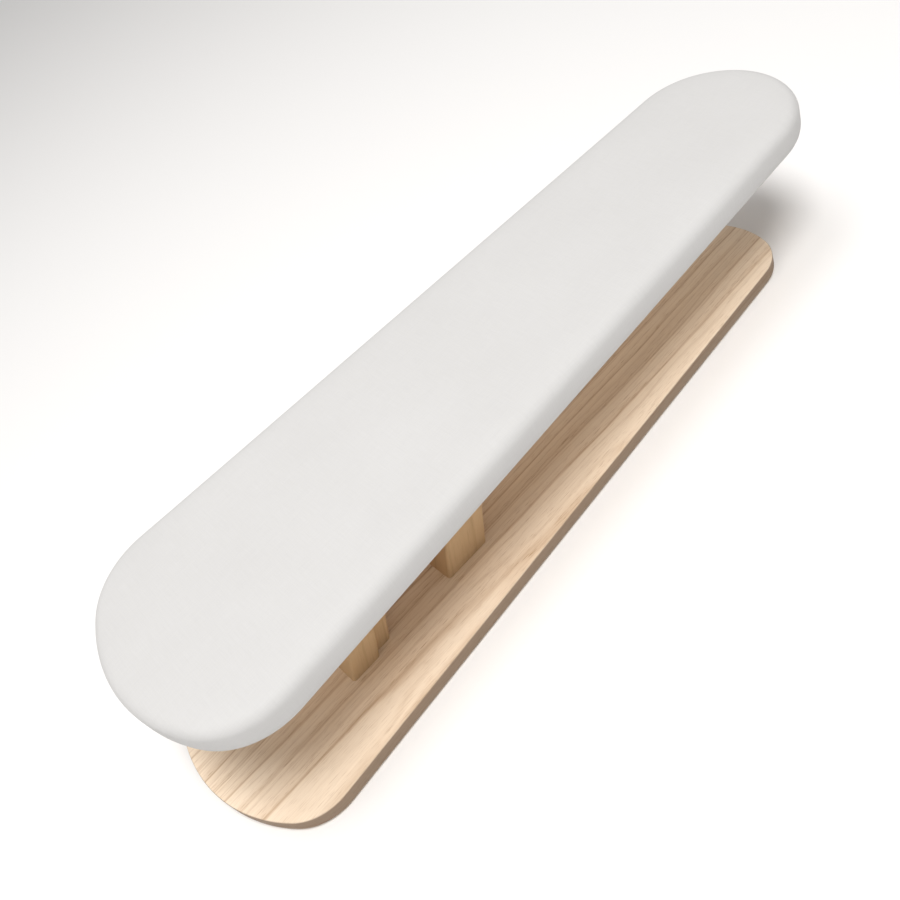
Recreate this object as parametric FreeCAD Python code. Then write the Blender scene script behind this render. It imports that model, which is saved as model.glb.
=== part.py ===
# Sleeve ironing board: a padded, cotton-covered, tapered top board that two leaning wooden legs
# carry above a tapered wooden base. The narrow half of the top stands free, so a sleeve slips over it.
# Sizes are in millimetres. +X runs along the board towards its narrow end and +Z is up. The origin
# lies on the table, under the middle of the whole length.
import FreeCAD, Part
import math
import os
from FreeCAD import Vector

# Overall sizes
OVERALL_HEIGHT = 130.0
TOP_LENGTH = 620.0
BASE_LENGTH = 583.0
BASE_REACH = 10.0            # the base's wide end reaches this far beyond the top's

# Outline of the covered top. A half width is where the straight side, drawn on, passes the tip.
TOP_HALF_WIDE = 100.0
TOP_HALF_NARROW = 65.0
TOP_SHOULDER_WIDE = 58.5     # radius of the two corner arcs at the wide end
TOP_BULGE_WIDE = 9.0         # how far the tip stands beyond those two arcs' own reach
TOP_SHOULDER_NARROW = 52.0
TOP_BULGE_NARROW = 9.0

# Outline of the base board
BASE_HALF_WIDE = 93.5
BASE_HALF_NARROW = 44.5
BASE_SHOULDER_WIDE = 42.5
BASE_BULGE_WIDE = 16.0
BASE_SHOULDER_NARROW = 35.0
BASE_BULGE_NARROW = 2.5

# Board thicknesses and edges
BASE_THICKNESS = 12.5
CORE_THICKNESS = 12.0
BASE_EASE = 1.2              # small bevel on the base board's edges

# Cover and padding
COVER_THICKNESS = 1.0
COVER_BEVEL = 8.0            # of the padded top edge, a plain stand-in for its round
COVER_LOWER_BEVEL = 2.5
HEM_WIDTH = 30.0             # how far the cover is turned in under the board
FOAM_THICKNESS = 12.8        # over the core
FOAM_SIDE = 5.0              # round the edge of the core
SOFT_GAP = 0.2               # clearance between cover, foam and core

# Legs
LEG_LEAN = 20.0              # degrees from upright, towards the narrow end
LEG_EASE = 2.5
WIDE_LEG_PLACE = 114.0       # from the base's wide tip to the leg's foot
WIDE_LEG_WIDTH = 25.0        # along the board
WIDE_LEG_DEPTH = 68.0        # across the board
STAVE_WIDTH = 13.5
STAVE_SETBACK = 4.5          # the backing stave stands this far inside each side of the leg
NARROW_LEG_PLACE = 209.0
NARROW_LEG_WIDTH = 38.0
NARROW_LEG_DEPTH = 64.0

# Countersunk screws, two at each end of each leg
SCREW_RADIUS = 2.0
SCREW_HEAD_RADIUS = 4.0
SCREW_HEAD_DEPTH = 2.4
SCREW_SUNK = 0.4             # the head lies this far below the board's face
SCREW_LENGTH = 33.0          # plain-ended: thread and point are left out
SCREW_EDGE = 17.0            # from a leg's side to the screw's axis
SHANK_GAP = 0.25             # round the shank, where it passes through the board
THREAD_GAP = 0.05            # round the thread, in the leg's end grain

# Staples that hold the hem
STAPLE_CROWN = 10.0
STAPLE_LEG = 6.0
STAPLE_WIRE_WIDTH = 1.2
STAPLE_WIRE_THICK = 0.6
STAPLE_PITCH = 40.0
STAPLE_INSET = 20.0          # from the cover's outer edge

# Levels and places that follow from the sizes above
COVER_INNER_TOP = OVERALL_HEIGHT - COVER_THICKNESS
FOAM_TOP = COVER_INNER_TOP - SOFT_GAP
CORE_TOP = FOAM_TOP - FOAM_THICKNESS
CORE_BOTTOM = CORE_TOP - CORE_THICKNESS
HEM_BOTTOM = CORE_BOTTOM - COVER_THICKNESS
FOAM_INSET = COVER_THICKNESS + SOFT_GAP
CORE_INSET = FOAM_INSET + FOAM_SIDE + SOFT_GAP
BASE_TIP = -(TOP_LENGTH + BASE_REACH) / 2
TOP_TIP = BASE_TIP + BASE_REACH
LEAN_SLOPE = math.tan(math.radians(LEG_LEAN))


class Outline:
    """A tapered board's outline: two straight sides, and a nose arc between two shoulder arcs at each end."""

    def __init__(self, tip, length, half_wide, half_narrow, wide_end, narrow_end):
        self.tips = (tip, tip + length)
        self.half_wide = half_wide
        self.slope = (half_wide - half_narrow) / length
        self.side_normal = Vector(self.slope, 1, 0).normalize()
        self.ends = [self.end(0, 1, *wide_end), self.end(1, -1, *narrow_end)]

    def end(self, which, inward, shoulder, bulge):
        """Centres and radii of one end's arcs; the nose arc touches the tip and both shoulder arcs."""
        tip = self.tips[which]
        depth = shoulder + bulge
        x = tip + inward * depth
        side = self.half_wide - self.slope * (x - self.tips[0])
        y = side - shoulder * math.hypot(1, self.slope)
        nose = (depth ** 2 + y ** 2 - shoulder ** 2) / (2 * bulge)
        return {"inward": inward, "tip": tip, "shoulder": shoulder, "nose": nose,
                "shoulder_centre": Vector(x, y, 0), "nose_centre": Vector(tip + inward * nose, 0, 0)}

    def end_points(self, end, inset):
        """Half an end's points, from the nose's middle round to the straight side."""
        to_join = (end["shoulder_centre"] - end["nose_centre"]).normalize()
        join = end["nose_centre"] + to_join * (end["nose"] - inset)
        side = end["shoulder_centre"] + self.side_normal * (end["shoulder"] - inset)
        half_way = (to_join + self.side_normal).normalize()
        middle = end["shoulder_centre"] + half_way * (end["shoulder"] - inset)
        return Vector(end["tip"] + end["inward"] * inset, 0, 0), join, middle, side

    def wire(self, inset, z):
        """The closed outline at height z, moved inwards by inset."""
        def other_side(point):
            return Vector(point.x, -point.y, point.z)

        wide, narrow = [self.end_points(end, inset) for end in self.ends]
        curves = [Part.LineSegment(wide[3], narrow[3]),
                  Part.Arc(narrow[3], narrow[2], narrow[1]),
                  Part.Arc(narrow[1], narrow[0], other_side(narrow[1])),
                  Part.Arc(other_side(narrow[1]), other_side(narrow[2]), other_side(narrow[3])),
                  Part.LineSegment(other_side(narrow[3]), other_side(wide[3])),
                  Part.Arc(other_side(wide[3]), other_side(wide[2]), other_side(wide[1])),
                  Part.Arc(other_side(wide[1]), wide[0], wide[1]),
                  Part.Arc(wide[1], wide[2], wide[3])]
        wire = Part.Wire([curve.toShape() for curve in curves])
        wire.translate(Vector(0, 0, z))
        return wire

    def slab(self, inset, low, high, lower_bevel=0.0, upper_bevel=0.0):
        """A board of this outline between two levels, with its lower and upper edges bevelled."""
        slab = Part.Face(self.wire(inset, low)).extrude(Vector(0, 0, high - low))
        for level, bevel in ((low, lower_bevel), (high, upper_bevel)):
            if bevel > 0:
                slab = slab.makeChamfer(bevel, rim_edges(slab, level))
        return slab


TOP = Outline(TOP_TIP, TOP_LENGTH, TOP_HALF_WIDE, TOP_HALF_NARROW,
              (TOP_SHOULDER_WIDE, TOP_BULGE_WIDE), (TOP_SHOULDER_NARROW, TOP_BULGE_NARROW))
BASE = Outline(BASE_TIP, BASE_LENGTH, BASE_HALF_WIDE, BASE_HALF_NARROW,
               (BASE_SHOULDER_WIDE, BASE_BULGE_WIDE), (BASE_SHOULDER_NARROW, BASE_BULGE_NARROW))


def rim_edges(solid, level):
    """The edges of a solid that lie flat at one level."""
    return [edge for edge in solid.Edges
            if abs(edge.BoundBox.ZMin - level) < 1e-4 and abs(edge.BoundBox.ZMax - level) < 1e-4]


def leaning_block(foot_x, width, depth):
    """A block between base and core whose ends are cut level and whose leaning edges are eased."""
    rise = CORE_BOTTOM - BASE_THICKNESS
    shift = rise * LEAN_SLOPE
    foot = foot_x, BASE_THICKNESS
    corners = [foot, (foot_x + width, foot[1]), (foot_x + width + shift, foot[1] + rise),
               (foot_x + shift, foot[1] + rise)]
    points = [Vector(x, -depth / 2, z) for x, z in corners]
    block = Part.Face(Part.makePolygon(points + points[:1])).extrude(Vector(0, depth, 0))
    leaning = [edge for edge in block.Edges
               if edge.BoundBox.ZLength > rise / 2]
    return block.makeFillet(LEG_EASE, leaning)


class Joint:
    """One end of a leg: the two upright countersunk screws that hold it to the board there."""

    def __init__(self, foot_x, width, depth, at_head):
        meeting = CORE_BOTTOM if at_head else BASE_THICKNESS
        self.into_leg = Vector(0, 0, -1 if at_head else 1)
        self.face = CORE_TOP if at_head else 0.0
        in_leg = SCREW_LENGTH + SCREW_SUNK - abs(meeting - self.face)
        height = meeting - BASE_THICKNESS + self.into_leg.z * in_leg / 2
        self.x = foot_x + width / 2 + height * LEAN_SLOPE      # keeps the thread central in the leaning leg
        self.sides = (SCREW_EDGE - depth / 2, depth / 2 - SCREW_EDGE)

    def at(self, y, depth):
        """The point on a screw's axis this far below the board's outer face."""
        return Vector(self.x, y, self.face) + self.into_leg * depth

    def screws(self):
        pieces = []
        for y in self.sides:
            head = Part.makeCone(SCREW_HEAD_RADIUS, SCREW_RADIUS, SCREW_HEAD_DEPTH,
                                 self.at(y, SCREW_SUNK), self.into_leg)
            shank = Part.makeCylinder(SCREW_RADIUS, SCREW_LENGTH - SCREW_HEAD_DEPTH,
                                      self.at(y, SCREW_SUNK + SCREW_HEAD_DEPTH), self.into_leg)
            pieces.append(head.fuse(shank))
        return pieces

    def holes(self, gap):
        """Countersunk holes for the screws, wider than their shanks by a gap all round."""
        pieces = []
        for y in self.sides:
            well = Part.makeCylinder(SCREW_HEAD_RADIUS, SCREW_SUNK, self.at(y, 0), self.into_leg)
            seat = Part.makeCone(SCREW_HEAD_RADIUS, SCREW_RADIUS, SCREW_HEAD_DEPTH,
                                 self.at(y, SCREW_SUNK), self.into_leg)
            hole = Part.makeCylinder(SCREW_RADIUS + gap, SCREW_LENGTH + SCREW_SUNK,
                                     self.at(y, 0), self.into_leg)
            pieces.append(hole.fuse([well, seat]))
        return pieces


def leg_joints(at_head):
    """The joints of both legs at one end."""
    return [Joint(BASE_TIP + WIDE_LEG_PLACE, WIDE_LEG_WIDTH, WIDE_LEG_DEPTH, at_head),
            Joint(BASE_TIP + NARROW_LEG_PLACE, NARROW_LEG_WIDTH, NARROW_LEG_DEPTH, at_head)]


FOOT_JOINTS = leg_joints(at_head=False)
HEAD_JOINTS = leg_joints(at_head=True)


def drilled(solid, joints, gap):
    """A piece with the screw holes of some joints cut out of it."""
    return solid.cut([hole for joint in joints for hole in joint.holes(gap)])


def staples():
    """Wire staples spaced evenly along the hem, with their crowns flat under it and their legs up."""
    path = TOP.wire(STAPLE_INSET, HEM_BOTTOM)
    count = round(path.Length / STAPLE_PITCH)
    steps = 8                                    # path points from one staple to the next
    points = path.discretize(Number=count * steps + 1)[:-1]
    leg_height = STAPLE_LEG + COVER_THICKNESS
    pieces = []
    for index in range(0, len(points), steps):
        before, here, after = points[index - 1], points[index], points[(index + 1) % len(points)]
        turn = math.degrees(math.atan2(after.y - before.y, after.x - before.x))
        crown = Part.makeBox(STAPLE_CROWN, STAPLE_WIRE_WIDTH, STAPLE_WIRE_THICK,
                             Vector(-STAPLE_CROWN / 2, -STAPLE_WIRE_WIDTH / 2, -STAPLE_WIRE_THICK))
        legs = [Part.makeBox(STAPLE_WIRE_THICK, STAPLE_WIRE_WIDTH, leg_height,
                             Vector(x, -STAPLE_WIRE_WIDTH / 2, 0))
                for x in (-STAPLE_CROWN / 2, STAPLE_CROWN / 2 - STAPLE_WIRE_THICK)]
        staple = crown.fuse(legs).removeSplitter()
        staple.rotate(Vector(0, 0, 0), Vector(0, 0, 1), turn)
        staple.translate(here)
        pieces.append(staple)
    return pieces


def inner_bevel(bevel, inset):
    """The bevel of a slab inset on all sides that keeps the inset's thickness at the bevel too."""
    return bevel - inset * (2 - math.sqrt(2))


def cover():
    """The cotton cover: a thin skin over top and sides, turned in under the board as a hem."""
    skin = TOP.slab(0, HEM_BOTTOM, OVERALL_HEIGHT, COVER_LOWER_BEVEL, COVER_BEVEL)
    bevels = [inner_bevel(bevel, COVER_THICKNESS) for bevel in (COVER_LOWER_BEVEL, COVER_BEVEL)]
    room = TOP.slab(COVER_THICKNESS, CORE_BOTTOM, COVER_INNER_TOP, *bevels)
    mouth = TOP.slab(HEM_WIDTH, HEM_BOTTOM - COVER_THICKNESS, CORE_BOTTOM + COVER_THICKNESS)
    return skin.cut([room, mouth] + staples())


def foam():
    """The foam pad: a slab with a bevelled upper edge and a pocket that the core fills."""
    pad = TOP.slab(FOAM_INSET, CORE_BOTTOM, FOAM_TOP,
                   inner_bevel(COVER_LOWER_BEVEL, FOAM_INSET), inner_bevel(COVER_BEVEL, FOAM_INSET))
    return pad.cut(TOP.slab(CORE_INSET - SOFT_GAP, CORE_BOTTOM, CORE_TOP))


def parts():
    """Every piece of the sleeve board, by name."""
    wide_x = BASE_TIP + WIDE_LEG_PLACE
    narrow_x = BASE_TIP + NARROW_LEG_PLACE
    base = BASE.slab(0, 0, BASE_THICKNESS, BASE_EASE, BASE_EASE)
    core = TOP.slab(CORE_INSET, CORE_BOTTOM, CORE_TOP)
    wide_leg = leaning_block(wide_x, WIDE_LEG_WIDTH, WIDE_LEG_DEPTH)
    narrow_leg = leaning_block(narrow_x, NARROW_LEG_WIDTH, NARROW_LEG_DEPTH)
    stave_depth = WIDE_LEG_DEPTH - 2 * STAVE_SETBACK
    joints = FOOT_JOINTS + HEAD_JOINTS
    return {
        "base_board": drilled(base, FOOT_JOINTS, SHANK_GAP),
        "wide_end_leg": drilled(wide_leg, joints, THREAD_GAP),
        "backing_stave": leaning_block(wide_x + WIDE_LEG_WIDTH, STAVE_WIDTH, stave_depth),
        "narrow_side_leg": drilled(narrow_leg, joints, THREAD_GAP),
        "base_screws": Part.makeCompound([screw for joint in FOOT_JOINTS for screw in joint.screws()]),
        "top_screws": Part.makeCompound([screw for joint in HEAD_JOINTS for screw in joint.screws()]),
        "top_board": drilled(core, HEAD_JOINTS, SHANK_GAP).cut(staples()),
        "foam_pad": foam(),
        "cover": cover(),
        "cover_staples": Part.makeCompound(staples()),
    }


os.makedirs("parts", exist_ok=True)
for name, shape in parts().items():
    shape.exportStep("parts/" + name + ".step")
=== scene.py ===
# %% [markdown]
# # A sleeve ironing board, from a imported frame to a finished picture
# A sleeve board is a small ironing board on a stand. A narrow padded top stands over a wooden base,
# and the sleeve slips over its free end. The engineering model gives every piece its size and place.
# This notebook gives the pieces their looks: simulated padding under tight cotton, straight-grained
# light wood, and the small fasteners that show when the board is turned over.

# %% Load the frame
import math

import bmesh
import bpy
from mathutils import Matrix, Vector
from mathutils.geometry import delaunay_2d_cdt


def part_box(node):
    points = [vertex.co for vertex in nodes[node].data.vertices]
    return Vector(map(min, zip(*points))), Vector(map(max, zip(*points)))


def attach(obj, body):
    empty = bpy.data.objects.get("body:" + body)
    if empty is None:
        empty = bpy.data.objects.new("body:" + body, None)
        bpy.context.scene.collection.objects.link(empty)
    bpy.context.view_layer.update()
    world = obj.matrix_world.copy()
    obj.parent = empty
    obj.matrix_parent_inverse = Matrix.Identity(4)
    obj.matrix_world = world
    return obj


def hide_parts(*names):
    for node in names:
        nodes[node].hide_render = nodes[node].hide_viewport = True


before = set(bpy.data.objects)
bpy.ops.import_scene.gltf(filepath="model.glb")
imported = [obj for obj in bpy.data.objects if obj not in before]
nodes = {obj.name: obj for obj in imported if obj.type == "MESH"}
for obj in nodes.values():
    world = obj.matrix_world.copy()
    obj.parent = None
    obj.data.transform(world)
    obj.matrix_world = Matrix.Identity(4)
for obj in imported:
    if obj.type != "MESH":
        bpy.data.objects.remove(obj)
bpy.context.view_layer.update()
scene = bpy.context.scene
MM = 0.001

# %% [markdown]
# ## Camera
# The board is seen from above its wide end and its right side, and the picture is turned so that the
# board runs up from lower left to upper right. A camera's local axes are right, up and backwards, so
# the turn is a rotation of right and up about the viewing direction.

# %% Place the camera
VIEW_AZIMUTH = math.radians(-20.3)
VIEW_ELEVATION = math.radians(45.0)
VIEW_ROLL = math.radians(-30.4)
VIEW_DISTANCE = 695.4 * MM
VIEW_TARGET = Vector((-41.8, 10.4, 60.0)) * MM
LENS = 39.45


def place_camera():
    forward = Vector((-math.sin(VIEW_AZIMUTH) * math.cos(VIEW_ELEVATION),
                      math.cos(VIEW_AZIMUTH) * math.cos(VIEW_ELEVATION),
                      -math.sin(VIEW_ELEVATION)))
    level = Vector((math.cos(VIEW_AZIMUTH), math.sin(VIEW_AZIMUTH), 0))
    upright = level.cross(forward)
    right = level * math.cos(VIEW_ROLL) + upright * math.sin(VIEW_ROLL)
    up = upright * math.cos(VIEW_ROLL) - level * math.sin(VIEW_ROLL)
    data = bpy.data.cameras.new("camera")
    data.lens = LENS
    data.clip_start = 0.01
    camera = bpy.data.objects.new("camera", data)
    turn = Matrix((right, up, -forward)).transposed().to_4x4()
    camera.matrix_world = Matrix.Translation(VIEW_TARGET - forward * VIEW_DISTANCE) @ turn
    scene.collection.objects.link(camera)
    scene.camera = camera


place_camera()

# %% [markdown]
# ## Studio
# Two soft boxes hang almost straight above, one a little in front and one a little behind, and a large
# weak one stands beyond the wide end. So the top is bright, the padded side falls off softly, and the
# base is darkest close under the pad. A pale floor and a weak sky fill the shadows. The standard view
# transform keeps white cotton white.

# %% Floor, sky and lamps
FLOOR_COLOUR = (0.93, 0.92, 0.91)
FLOOR_LEVEL = -0.0002          # just under the board, so the two faces don't share a plane
FLOOR_REACH = 40.0
SKY_COLOUR = (1.0, 0.995, 0.99)
SKY_STRENGTH = 0.335
SOFT_BOXES = (("front_box", (-0.24, -0.75, 2.2), 0.9, 38), ("rear_box", (-0.15, 0.25, 2.2), 0.9, 13),
              ("end_box", (-2.4, 0.3, 0.8), 1.6, 5))         # name, place, diameter and power in watts
LAMP_AIM = (-0.05, 0.0, 0.08)
LAMP_COLOUR = (1.0, 0.99, 0.98)


def add_floor():
    mesh = bpy.data.meshes.new("floor")
    sides = ((-1, -1), (1, -1), (1, 1), (-1, 1))
    corners = [(x * FLOOR_REACH, y * FLOOR_REACH, FLOOR_LEVEL) for x, y in sides]
    mesh.from_pydata(corners, [], [(0, 1, 2, 3)])
    floor = bpy.data.objects.new("floor", mesh)
    scene.collection.objects.link(floor)
    paint = bpy.data.materials.new("floor_paper")
    paint.use_nodes = True
    shader = paint.node_tree.nodes["Principled BSDF"]
    shader.inputs["Base Color"].default_value = (*FLOOR_COLOUR, 1)
    shader.inputs["Roughness"].default_value = 0.9
    mesh.materials.append(paint)


def add_lamp(name, place, size, power):
    data = bpy.data.lights.new(name, "AREA")
    data.shape = "DISK"
    data.size = size
    data.energy = power
    data.color = LAMP_COLOUR
    lamp = bpy.data.objects.new(name, data)
    lamp.location = place
    lamp.rotation_mode = "QUATERNION"
    lamp.rotation_quaternion = (Vector(LAMP_AIM) - Vector(place)).to_track_quat("-Z", "Y")
    scene.collection.objects.link(lamp)


def light_studio():
    world = bpy.data.worlds.new("sky")
    world.use_nodes = True
    background = world.node_tree.nodes["Background"]
    background.inputs["Color"].default_value = (*SKY_COLOUR, 1)
    background.inputs["Strength"].default_value = SKY_STRENGTH
    scene.world = world
    for box in SOFT_BOXES:
        add_lamp(*box)
    scene.view_settings.view_transform = "Standard"


add_floor()
light_studio()

# %% [markdown]
# ## Writing node graphs as sums
# Materials and Geometry Nodes are both graphs, and long graphs are easier to read as arithmetic.
# `Signal` wraps one socket and overloads the operators, so `1 - mask` adds a Math node. `Graph` is a
# tree under construction, whose `node` method adds any other kind of node, and `Finish` is a material.

# %% A socket that does arithmetic, a graph that grows nodes, and a material
def find_socket(sockets, key):
    """A node's socket by position, or by its identifier or name."""
    if isinstance(key, int):
        return sockets[key]
    return next(socket for socket in sockets if key in (socket.identifier, socket.name))


class Signal:
    """One output socket of a node graph."""

    def __init__(self, graph, socket):
        self.graph = graph
        self.socket = socket

    def math(self, operation, *operands):
        return self.graph.node("ShaderNodeMath", {"operation": operation}, dict(enumerate(operands)))

    def fraction(self):
        return self.math("FRACT", self)

    def __add__(self, other):
        return self.math("ADD", self, other)

    def __sub__(self, other):
        return self.math("SUBTRACT", self, other)

    def __rsub__(self, other):
        return self.math("SUBTRACT", other, self)

    def __mul__(self, other):
        return self.math("MULTIPLY", self, other)

    def __truediv__(self, other):
        return self.math("DIVIDE", self, other)

    def __pow__(self, other):
        return self.math("POWER", self, other)

    __radd__ = __add__
    __rmul__ = __mul__


class Graph:
    """A node tree that is written in Python."""

    def __init__(self, tree):
        self.tree = tree

    def feed(self, socket, value):
        """Links a signal to a socket, or sets its constant. A list feeds each of its values."""
        if isinstance(value, list):
            for each in value:
                self.feed(socket, each)
        elif isinstance(value, Signal):
            self.tree.links.new(value.socket, socket)
        elif isinstance(value, tuple) and socket.type == "RGBA":
            socket.default_value = (*value[:3], 1)
        else:
            socket.default_value = value

    def node(self, kind, settings=None, inputs=None, out=0):
        """Adds a node, sets it up, feeds its sockets and returns one output."""
        node = self.tree.nodes.new(kind)
        for key, value in (settings or {}).items():
            if key == "stops":
                self.set_stops(node.color_ramp, value)
            else:
                setattr(node, key, value)
        for key, value in (inputs or {}).items():
            self.feed(find_socket(node.inputs, key), value)
        return Signal(self, find_socket(node.outputs, out))


class Finish(Graph):
    """A material under construction."""

    def __init__(self, name):
        self.material = bpy.data.materials.new(name)
        self.material.use_nodes = True
        super().__init__(self.material.node_tree)
        self.shader = self.tree.nodes["Principled BSDF"]

    def place(self):
        """Where a point is on the object, in metres."""
        return self.node("ShaderNodeTexCoord", out="Object")

    def part(self, vector, axis):
        """One part of a vector: X, Y or Z."""
        return self.node("ShaderNodeSeparateXYZ", inputs={"Vector": vector}, out=axis)

    def set_stops(self, ramp, stops):
        """Gives a colour ramp its stops, each a place and a grey level."""
        while len(ramp.elements) < len(stops):
            ramp.elements.new(1.0)
        for element, (place, grey) in zip(ramp.elements, stops):
            element.position = place
            element.color = (grey, grey, grey, 1)

    def ramp(self, value, stops):
        return self.node("ShaderNodeValToRGB", {"stops": stops}, {"Fac": value})

    def blend(self, factor, first, second):
        """A colour between two colours."""
        return self.node("ShaderNodeMix", {"data_type": "RGBA"},
                         {"Factor_Float": factor, "A_Color": first, "B_Color": second}, out="Result_Color")

    def noise(self, stretch, detail=2.0, roughness=0.5, place=None):
        """Smooth noise with its own cycles per metre along each axis, on the object unless place says."""
        spot = self.node("ShaderNodeVectorMath", {"operation": "MULTIPLY"},
                         {0: place or self.place(), 1: stretch})
        return self.node("ShaderNodeTexNoise", inputs={"Vector": spot, "Scale": 1.0, "Detail": detail,
                                                       "Roughness": roughness}, out="Fac")

    def bump(self, height, depth, normal=None):
        """A bump whose full height of 1 stands depth metres proud."""
        inputs = {"Height": height, "Distance": depth, "Strength": 1.0}
        if normal is not None:
            inputs["Normal"] = normal
        return self.node("ShaderNodeBump", inputs=inputs, out="Normal")

    def done(self, **sockets):
        """Feeds the shader's own sockets, named with _ for a space, and returns the material."""
        for key, value in sockets.items():
            self.feed(self.shader.inputs[key.replace("_", " ")], value)
        return self.material


# %% [markdown]
# ## Light wood
# The boards are cut from a pale, fast-grown wood with wide growth rings. In a tree the rings are
# cylinders round the heart, so the finish works out each point's distance from a heart line that runs
# along the grain, just outside the board. Straight lines, arches and the end grain then all come from
# one rule, and every face of a piece agrees with its neighbours.

# %% A finish for light wood
# Six kinds of noise: cycles per metre along and across the grain, detail and roughness
GRAIN = (((3.0, 14.0, 14.0), 3.0), ((9.0, 60.0, 60.0),), ((2.2, 45.0, 45.0),), ((14.0, 160.0, 160.0),),
         ((95.0, 2300.0, 2300.0), 1.0), ((22.0, 900.0, 900.0), 3.0, 0.65))
DRIFT, WANDER = 0.012, 0.0016  # how far the rings stray from true circles, in metres
# a dark brown that stands in for painted shade on the upright sides of a board
PAINTED_SIDE_SHADE = (0.20, 0.125, 0.075)


def wood(name, pale, brown, heart, ring_gap, lean=0.0, turn=0.0, figure=1.0, edge=0.0):
    """Wood whose grain runs along X, or leans from it, with growth rings round a line through heart.
    figure is how strongly its lines show, and edge how far painted shade darkens the upright sides."""
    finish = Finish(name)
    place = finish.node("ShaderNodeMapping", {"vector_type": "TEXTURE"}, {
        "Vector": finish.place(), "Location": heart, "Rotation": (0.0, lean, turn)})
    drift, wander, bands, broken, specks, fibre = [finish.noise(*kind, place=place) for kind in GRAIN]
    drift = drift - 0.5
    across, depth = finish.part(place, "Y"), finish.part(place, "Z")
    distance = (across * across + depth * depth) ** 0.5
    rings = (distance + drift * DRIFT + (wander - 0.5) * WANDER) / ring_gap
    phase = rings.fraction()
    line = finish.ramp(phase, [(0.0, 0.8), (0.03, 1.0), (0.09, 0.45), (0.35, 0.14), (0.93, 0.0), (1.0, 0.8)])
    faint_line = finish.ramp((rings * 2.37 + drift * 3.0).fraction(),
                             [(0.0, 0.7), (0.06, 1.0), (0.2, 0.2), (0.85, 0.0), (1.0, 0.7)])
    early = finish.ramp(phase, [(0.0, 1.0), (0.3, 0.9), (0.5, 0.15), (1.0, 0.1)])
    pores = finish.ramp(specks, [(0.60, 0.0), (0.72, 1.0)])
    lines = line * (broken * 0.9 + 0.10) + faint_line * (1 - broken) * 0.5
    shade = lines + pores * (early * 0.5 + 0.5) * 0.6 + (fibre - 0.5) * 0.50 + (bands - 0.5) * 0.80
    planed = finish.blend(finish.ramp(shade * figure, [(0.0, 0.0), (1.0, 1.0)]), pale, brown)
    # Painted shade: the more upright a face, the more its colour goes towards a dark brown, as if little light
    # reached the sides
    facing_up = finish.part(finish.node("ShaderNodeTexCoord", out="Normal"), "Z")
    side_shade = 1 - facing_up * facing_up
    height = 1 - pores * 0.6 - line * 0.25 + fibre * 0.35
    return finish.done(Base_Color=finish.blend(side_shade * edge, planed, PAINTED_SIDE_SHADE), Roughness=0.55 + fibre * 0.14,
                       Normal=finish.bump(height, 0.00012), Specular_IOR_Level=0.35)


base_wood = wood("base_wood_grain", (0.95, 0.79, 0.615), (0.55, 0.36, 0.21), heart=(0.0, -0.070, -0.030),
                 ring_gap=0.0105, lean=math.radians(0.5), turn=math.radians(0.9), edge=0.85)
leg_wood = wood("leg_wood_grain", (0.66, 0.45, 0.25), (0.47, 0.29, 0.14), heart=(0.0, 0.03, 0.16),
                ring_gap=0.011, lean=math.radians(-70), figure=0.6)
core_wood = wood("core_wood_grain", (0.80, 0.62, 0.42), (0.48, 0.30, 0.16), heart=(0.0, 0.02, 0.19),
                 ring_gap=0.006, lean=math.radians(1.5))
print("woods:", [each.name for each in (base_wood, leg_wood, core_wood)])

# %% [markdown]
# ## Cotton, foam, thread and metal
# The cover is plain-woven cotton. Its weave is far finer than a camera sees from arm's length, so it
# could be left out, but close views and baked textures would then show plastic. The cover carries a UV
# map in metres, laid out as the cloth was cut, so the threads follow the cloth over every edge. A weave
# is a chessboard of threads: on one colour the warp lies on top, on the other the weft does.

# %% A finish for woven cotton
THREAD_PITCH = 0.00055


def cotton(name, colour, shade):
    """Plain-woven cotton on a UV map in metres: threads, slubs and a faint unevenness."""
    finish = Finish(name)
    cut = finish.node("ShaderNodeUVMap", {"uv_map": "cut"}, out="UV")
    along, across = [finish.part(cut, axis) / THREAD_PITCH for axis in "XY"]
    warp_round, weft_round = [count.math("SINE", count.fraction() * math.pi) for count in (along, across)]
    cell = along.math("FLOOR", along) + across.math("FLOOR", across)
    warp_on_top = cell.math("FLOORED_MODULO", cell, 2.0)
    warp = warp_round ** 0.6 * (0.6 + weft_round * 0.4)
    weft = weft_round ** 0.6 * (0.6 + warp_round * 0.4)
    threads = warp * warp_on_top + weft * (1 - warp_on_top)
    warp_slubs, weft_slubs = [finish.noise(stretch, place=cut) for stretch in ((60.0, 1500.0, 1.0),
                                                                               (1500.0, 60.0, 1.0))]
    slubs = warp_slubs * 0.5 + weft_slubs * 0.5
    unevenness = finish.noise((11.0, 11.0, 11.0))
    mix = threads * 0.25 + slubs * 0.55 + unevenness * 0.3 - 0.05
    tint = finish.blend(finish.ramp(mix, [(0.1, 1.0), (0.9, 0.0)]), colour, shade)
    weave = finish.bump(threads * 0.75 + slubs * 0.6, 0.00006)
    relief = finish.bump(finish.noise((45.0, 45.0, 45.0), detail=1.0), 0.00008, normal=weave)
    return finish.done(Base_Color=tint, Roughness=0.82 + slubs * 0.12, Normal=relief,
                       Sheen_Weight=0.12, Sheen_Roughness=0.45, Specular_IOR_Level=0.2)


cover_cotton = cotton("cover_weave", (0.668, 0.662, 0.656), (0.552, 0.543, 0.532))
print("cotton threads:", round(1 / (THREAD_PITCH * 100)), "per centimetre")


# %% Finishes for foam, thread and metal
def foam_finish(name):
    """Cream open-cell foam: small cells darkened by painted shade between bright struts."""
    finish = Finish(name)
    cells = finish.node("ShaderNodeTexVoronoi", {"feature": "F1"},
                        {"Vector": finish.place(), "Scale": 900.0}, out="Distance")
    # Painted shade: the colour darkens towards each cell's middle, where the bump sinks a hollow
    tint = finish.blend(finish.ramp(cells, [(0.15, 1.0), (0.6, 0.0)]), (0.86, 0.80, 0.62), (0.52, 0.44, 0.26))
    return finish.done(Base_Color=tint, Roughness=0.9 + cells * 0.05, Normal=finish.bump(cells, 0.0004))


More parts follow.
